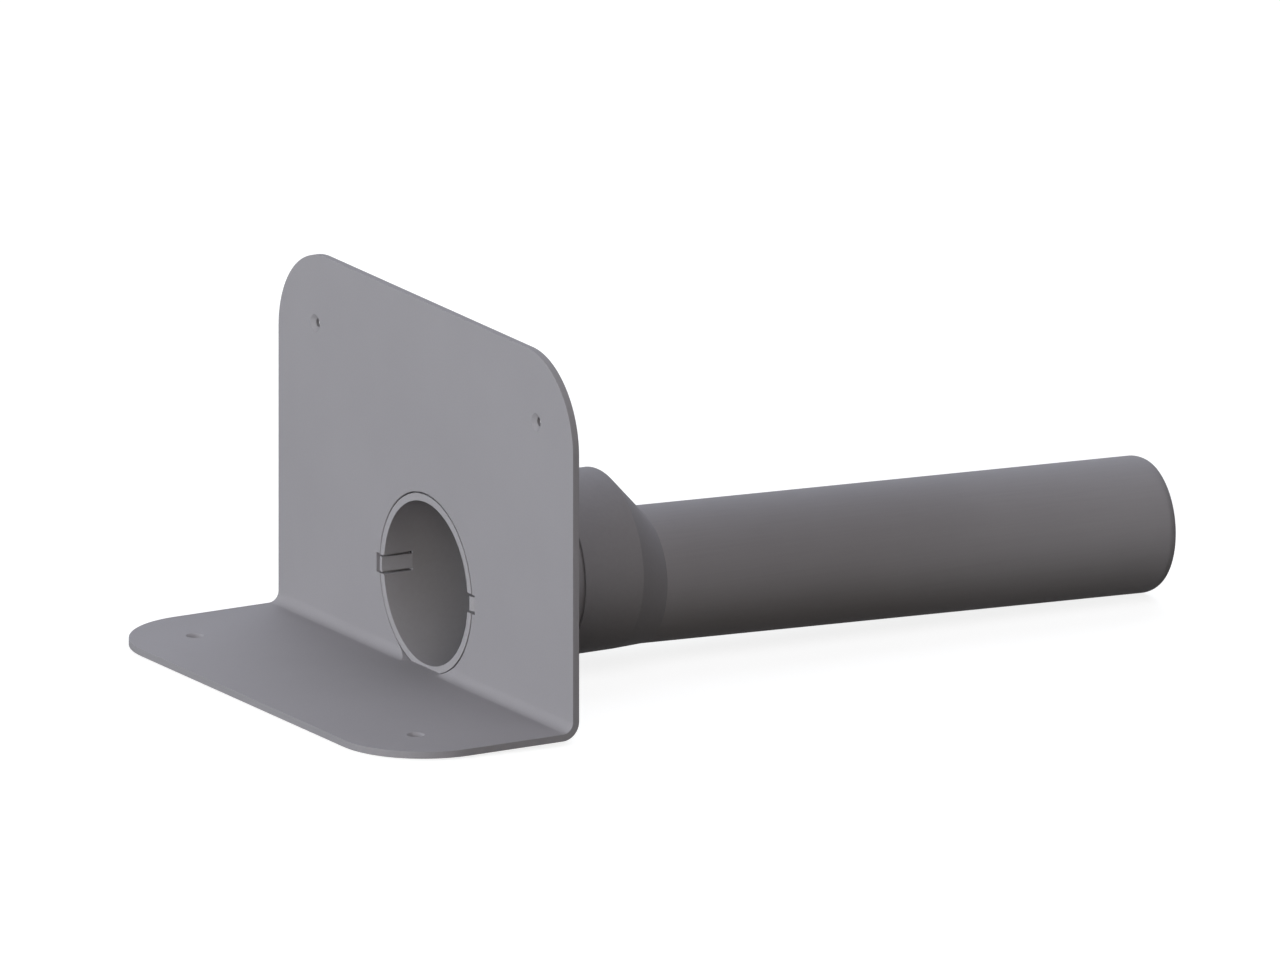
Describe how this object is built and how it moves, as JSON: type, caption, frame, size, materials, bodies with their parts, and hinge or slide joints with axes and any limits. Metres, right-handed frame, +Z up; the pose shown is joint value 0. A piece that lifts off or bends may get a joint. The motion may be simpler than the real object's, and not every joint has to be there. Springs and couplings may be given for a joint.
{
  "type": "roof drain",
  "caption": "Parapet roof drain: an L-shaped sheet flange, a snap-in round inlet in its upright, and a smaller outlet pipe that falls away behind it.",
  "frame": {"origin": "centre of the inlet bore's mouth, in the plane of the upright's front face", "axes": "+X along the inlet bore, the way the water flows; +Z up, square to the deck leg; +Y to the left of the flow"},
  "size_m": [0.5663, 0.32, 0.2217],
  "materials": {
    "flange_sheet": "matt grey rigid vinyl sheet",
    "inlet_moulding": "matt grey moulded rigid vinyl",
    "reducer_moulding": "matt grey moulded rigid vinyl",
    "outlet_pipe": "matt grey extruded rigid vinyl"
  },
  "bodies": {
    "root": {"flange": "flange_sheet", "inlet_tube": "inlet_moulding", "outlet_reducer": "reducer_moulding", "outlet_pipe": "outlet_pipe"}
  },
  "joints": []
}
